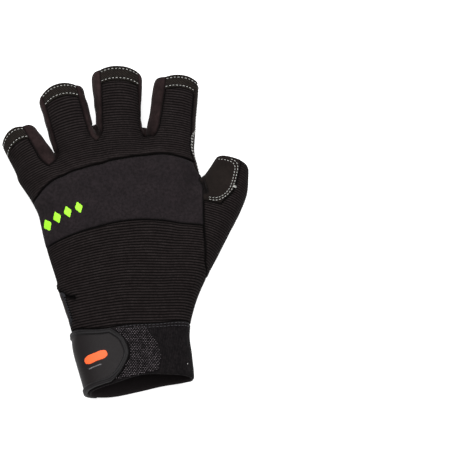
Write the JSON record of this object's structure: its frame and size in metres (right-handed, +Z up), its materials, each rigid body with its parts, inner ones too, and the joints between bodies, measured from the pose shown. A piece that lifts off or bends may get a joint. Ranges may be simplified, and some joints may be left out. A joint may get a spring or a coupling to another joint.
{
  "type": "half-finger mechanic glove",
  "caption": "Left-hand half-finger work glove with damping pads on a suede palm, a knit back with a foam knuckle band, and an elastic cuff closed by a wrist tab.",
  "frame": {"origin": "the middle of the glove's plan, on the surface that it lies on", "axes": "+Z up from that surface to the back of the hand, +Y from the wrist to the fingertips, +X to the thumb side"},
  "size_m": [0.1438, 0.2016, 0.027],
  "materials": {
    "knit": "fine ribbed knit, near black, matt",
    "foam_cloth": "smooth charcoal foam rubber faced with fine jersey, matt",
    "hem": "turned woven hem, black, matt",
    "strip": "thin brown-black suede cloth, matt",
    "suede": "black synthetic suede, soft nap",
    "pad_suede": "black synthetic suede over a soft damping filling",
    "elastic": "black elastic with fine ribs, matt",
    "rubber": "moulded charcoal rubber, satin",
    "loops": "coarse black and grey loop tape",
    "thread": "white sewing thread"
  },
  "bodies": {
    "root": {"hem_little": "hem", "hem_ring": "hem", "hem_middle": "hem", "hem_index": "hem", "knit_back": "knit", "knuckle_band": "foam_cloth", "knit_fingers": "knit", "fourchette_little_ring": "strip", "fourchette_ring_middle": "strip", "fourchette_middle_index": "strip", "palm": "suede", "thumb_back": "knit", "thumb_palm": "suede", "cuff": "elastic", "wrist_tab": "rubber", "loop_patch": "loops", "palm_overlay": "pad_suede", "pad_knuckle_ulnar": "pad_suede", "pad_knuckle_radial": "pad_suede", "pad_heel": "pad_suede", "pad_thenar": "pad_suede"}
  },
  "joints": []
}
